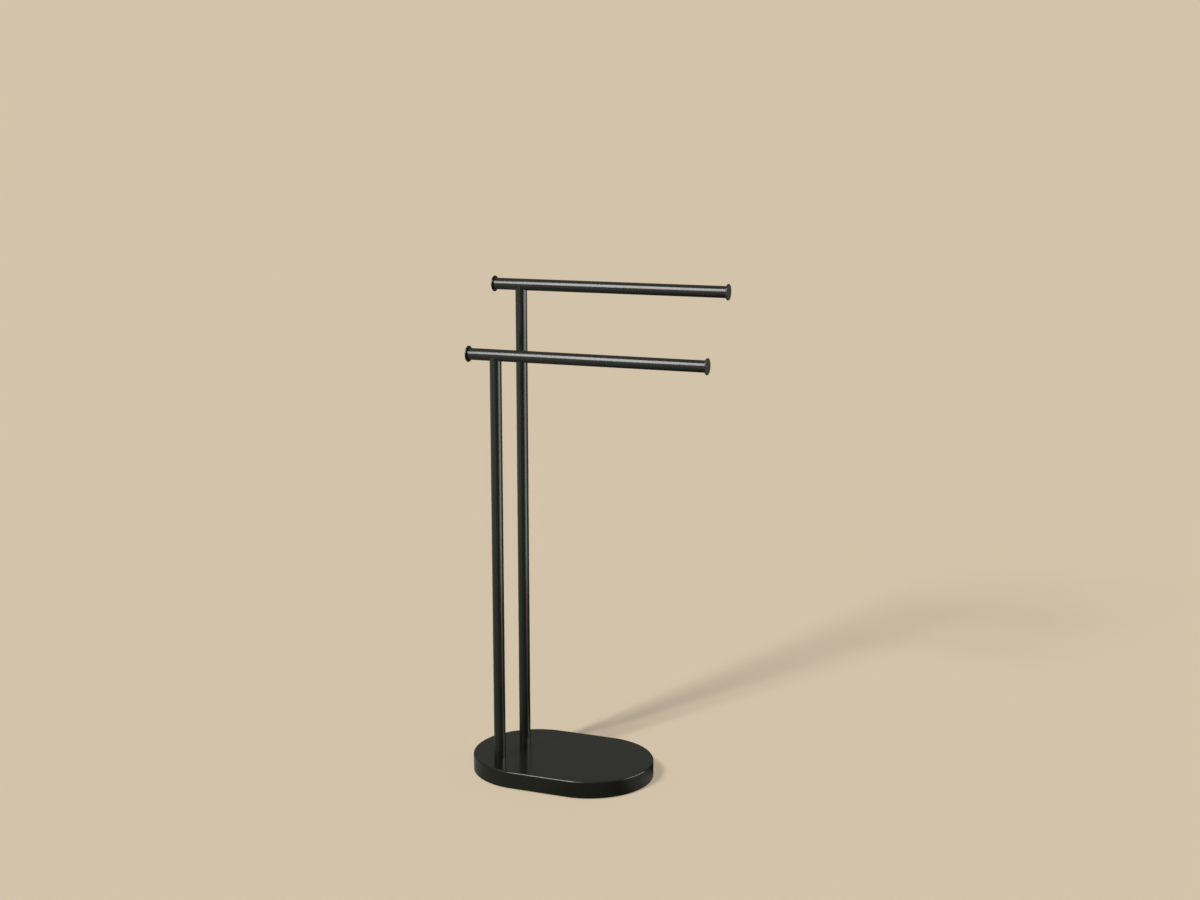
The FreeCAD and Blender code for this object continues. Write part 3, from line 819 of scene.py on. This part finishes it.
def make_world(look):
    """Even light for the floor, a plain backdrop for the camera, and a dim studio for what mirrors it."""
    world = bpy.data.worlds.new("studio")
    bpy.context.scene.world = world
    finish = Finish(world)
    direction = finish.node("ShaderNodeTexCoord", output="Generated")
    x, y, z = finish.axes(direction)
    glow = left_glow(finish, x, y) * (1.0 - finish.smooth(x * -1.0, 0.5, 0.9))
    level = finish.stepped(z, *MIRRORED_WORLD) + glow * 0.5
    mirrored = finish.mix(level, grey(0.0), opaque(look.mirrored))
    fill = finish.mix(finish.ray("Is Glossy Ray"), grey(look.fill), mirrored)
    light = finish.node("ShaderNodeBackground", {}, {"Color": fill, "Strength": 1.0})
    colour = opaque(look.floor_colour)
    seen = finish.node("ShaderNodeBackground", {}, {"Color": colour, "Strength": 1.0})
    mixed = finish.node("ShaderNodeMixShader", {}, {0: finish.ray("Is Camera Ray"), 1: light, 2: seen})
    finish.node("ShaderNodeOutputWorld", {}, {"Surface": mixed})


class STAND_OT_stage(Operator):
    """Makes the floor, the lamps, the world and the camera"""

    bl_idname = "towel_stand.stage"
    bl_label = "Set the stage"

    def execute(self, context):
        look = context.scene.towel_stand.studio
        make_floor(look)
        make_world(look)
        self.add_key("tall_key", look.tall_key, height=30.5, spread=10.0, shaders=(*POSTS, *BARS, *CAPS))
        self.add_key("low_key", look.low_key, height=45.0, spread=15.0, shaders=BASE)
        self.add_panel(
            "softbox", look.softbox, target=(0.06, 0.0, 0.79), direction=(-0.34, -0.73, 0.594),
            distance=2.6, size=(1.0, 2.0),
        )
        side = self.add_panel(
            "side_panel", look.side_panel, target=(-0.1, 0.0, 0.72), direction=(1.0, 0.0, 0.0),
            distance=1.15, size=(0.9, 1.4),
        )
        side.light_linking.receiver_collection = self.group("side_panel", POSTS)
        self.add_panel(
            "back_panel", look.back_panel, target=(0.15, 0.0, 0.03), direction=(0.85, 0.34, 0.4),
            distance=2.6, size=(2.2, 1.3),
        )
        self.place_camera(context.scene)
        context.scene.view_settings.view_transform = "Standard"
        return {"FINISHED"}

    def add_key(self, name, share, height, spread, shaders):
        """A far lamp that gives this share of the floor's light, and whose shadows only some pieces throw.

        Its height above the horizon and the width of its disc are in degrees.
        """
        height = math.radians(height)
        direction = (KEY_SIDE[0] * math.cos(height), KEY_SIDE[1] * math.cos(height), math.sin(height))
        energy = share * math.pi / math.sin(height)
        key = add_lamp(
            name, "SUN", (0.0, 0.0, 0.0), direction, KEY_DISTANCE, energy=energy,
            angle=math.radians(spread),
        )
        key.visible_glossy = False
        key.light_linking.blocker_collection = self.group(name, shaders)

    def group(self, name, nodes):
        """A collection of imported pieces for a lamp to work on."""
        group = bpy.data.collections.new(name)
        for node in nodes:
            group.objects.link(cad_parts[node])
        return group

    def add_panel(self, name, radiance, target, direction, distance, size):
        """A glowing panel that only shows as a highlight on the stand."""
        panel = add_lamp(
            name, "AREA", target, direction, distance, energy=radiance * math.pi * size[0] * size[1],
            shape="RECTANGLE", size=size[0], size_y=size[1],
        )
        panel.visible_diffuse = False
        panel.visible_camera = False
        return panel

    def place_camera(self, scene):
        shot = scene.towel_stand.shot
        camera = bpy.data.objects.new("camera", bpy.data.cameras.new("camera"))
        scene.collection.objects.link(camera)
        camera.data.lens = shot.lens
        camera.data.sensor_width = SENSOR_WIDTH
        camera.location = shot.place
        camera.rotation_euler = (math.pi / 2 - shot.tilt, 0.0, shot.turn)
        scene.camera = camera


LOOKS = (CoatLook, SteelLook, FillingLook, StudioLook, ShotLook, StandLook)
STEPS = (
    STAND_OT_base, STAND_OT_posts, STAND_OT_bars, STAND_OT_caps, STAND_OT_steel, STAND_OT_screws,
    STAND_OT_filling, STAND_OT_stage,
)


class STAND_PT_panel(Panel):
    """Lists the steps that finish the towel stand, and what can be changed"""

    bl_idname = "STAND_PT_panel"
    bl_label = "Towel stand"
    bl_space_type = "VIEW_3D"
    bl_region_type = "UI"
    bl_category = "Towel stand"

    def draw(self, context):
        for step in STEPS:
            self.layout.operator(step.bl_idname)
        for look in context.scene.towel_stand.bl_rna.properties:
            group = getattr(context.scene.towel_stand, look.identifier, None)
            if isinstance(group, PropertyGroup):
                box = self.layout.box()
                for key in group.bl_rna.properties.keys():
                    if key not in ("rna_type", "name"):
                        box.prop(group, key)


def register():
    for made in (*LOOKS, *STEPS, STAND_PT_panel):
        bpy.utils.register_class(made)
    bpy.types.Scene.towel_stand = PointerProperty(type=StandLook)


def unregister():
    del bpy.types.Scene.towel_stand
    for made in reversed((*LOOKS, *STEPS, STAND_PT_panel)):
        bpy.utils.unregister_class(made)


def main():
    register()
    bpy.ops.towel_stand.base()
    bpy.ops.towel_stand.posts()
    bpy.ops.towel_stand.bars()
    bpy.ops.towel_stand.caps()
    bpy.ops.towel_stand.steel()
    bpy.ops.towel_stand.screws()
    bpy.ops.towel_stand.filling()
    bpy.ops.towel_stand.stage()


if __name__ == "__main__":
    main()
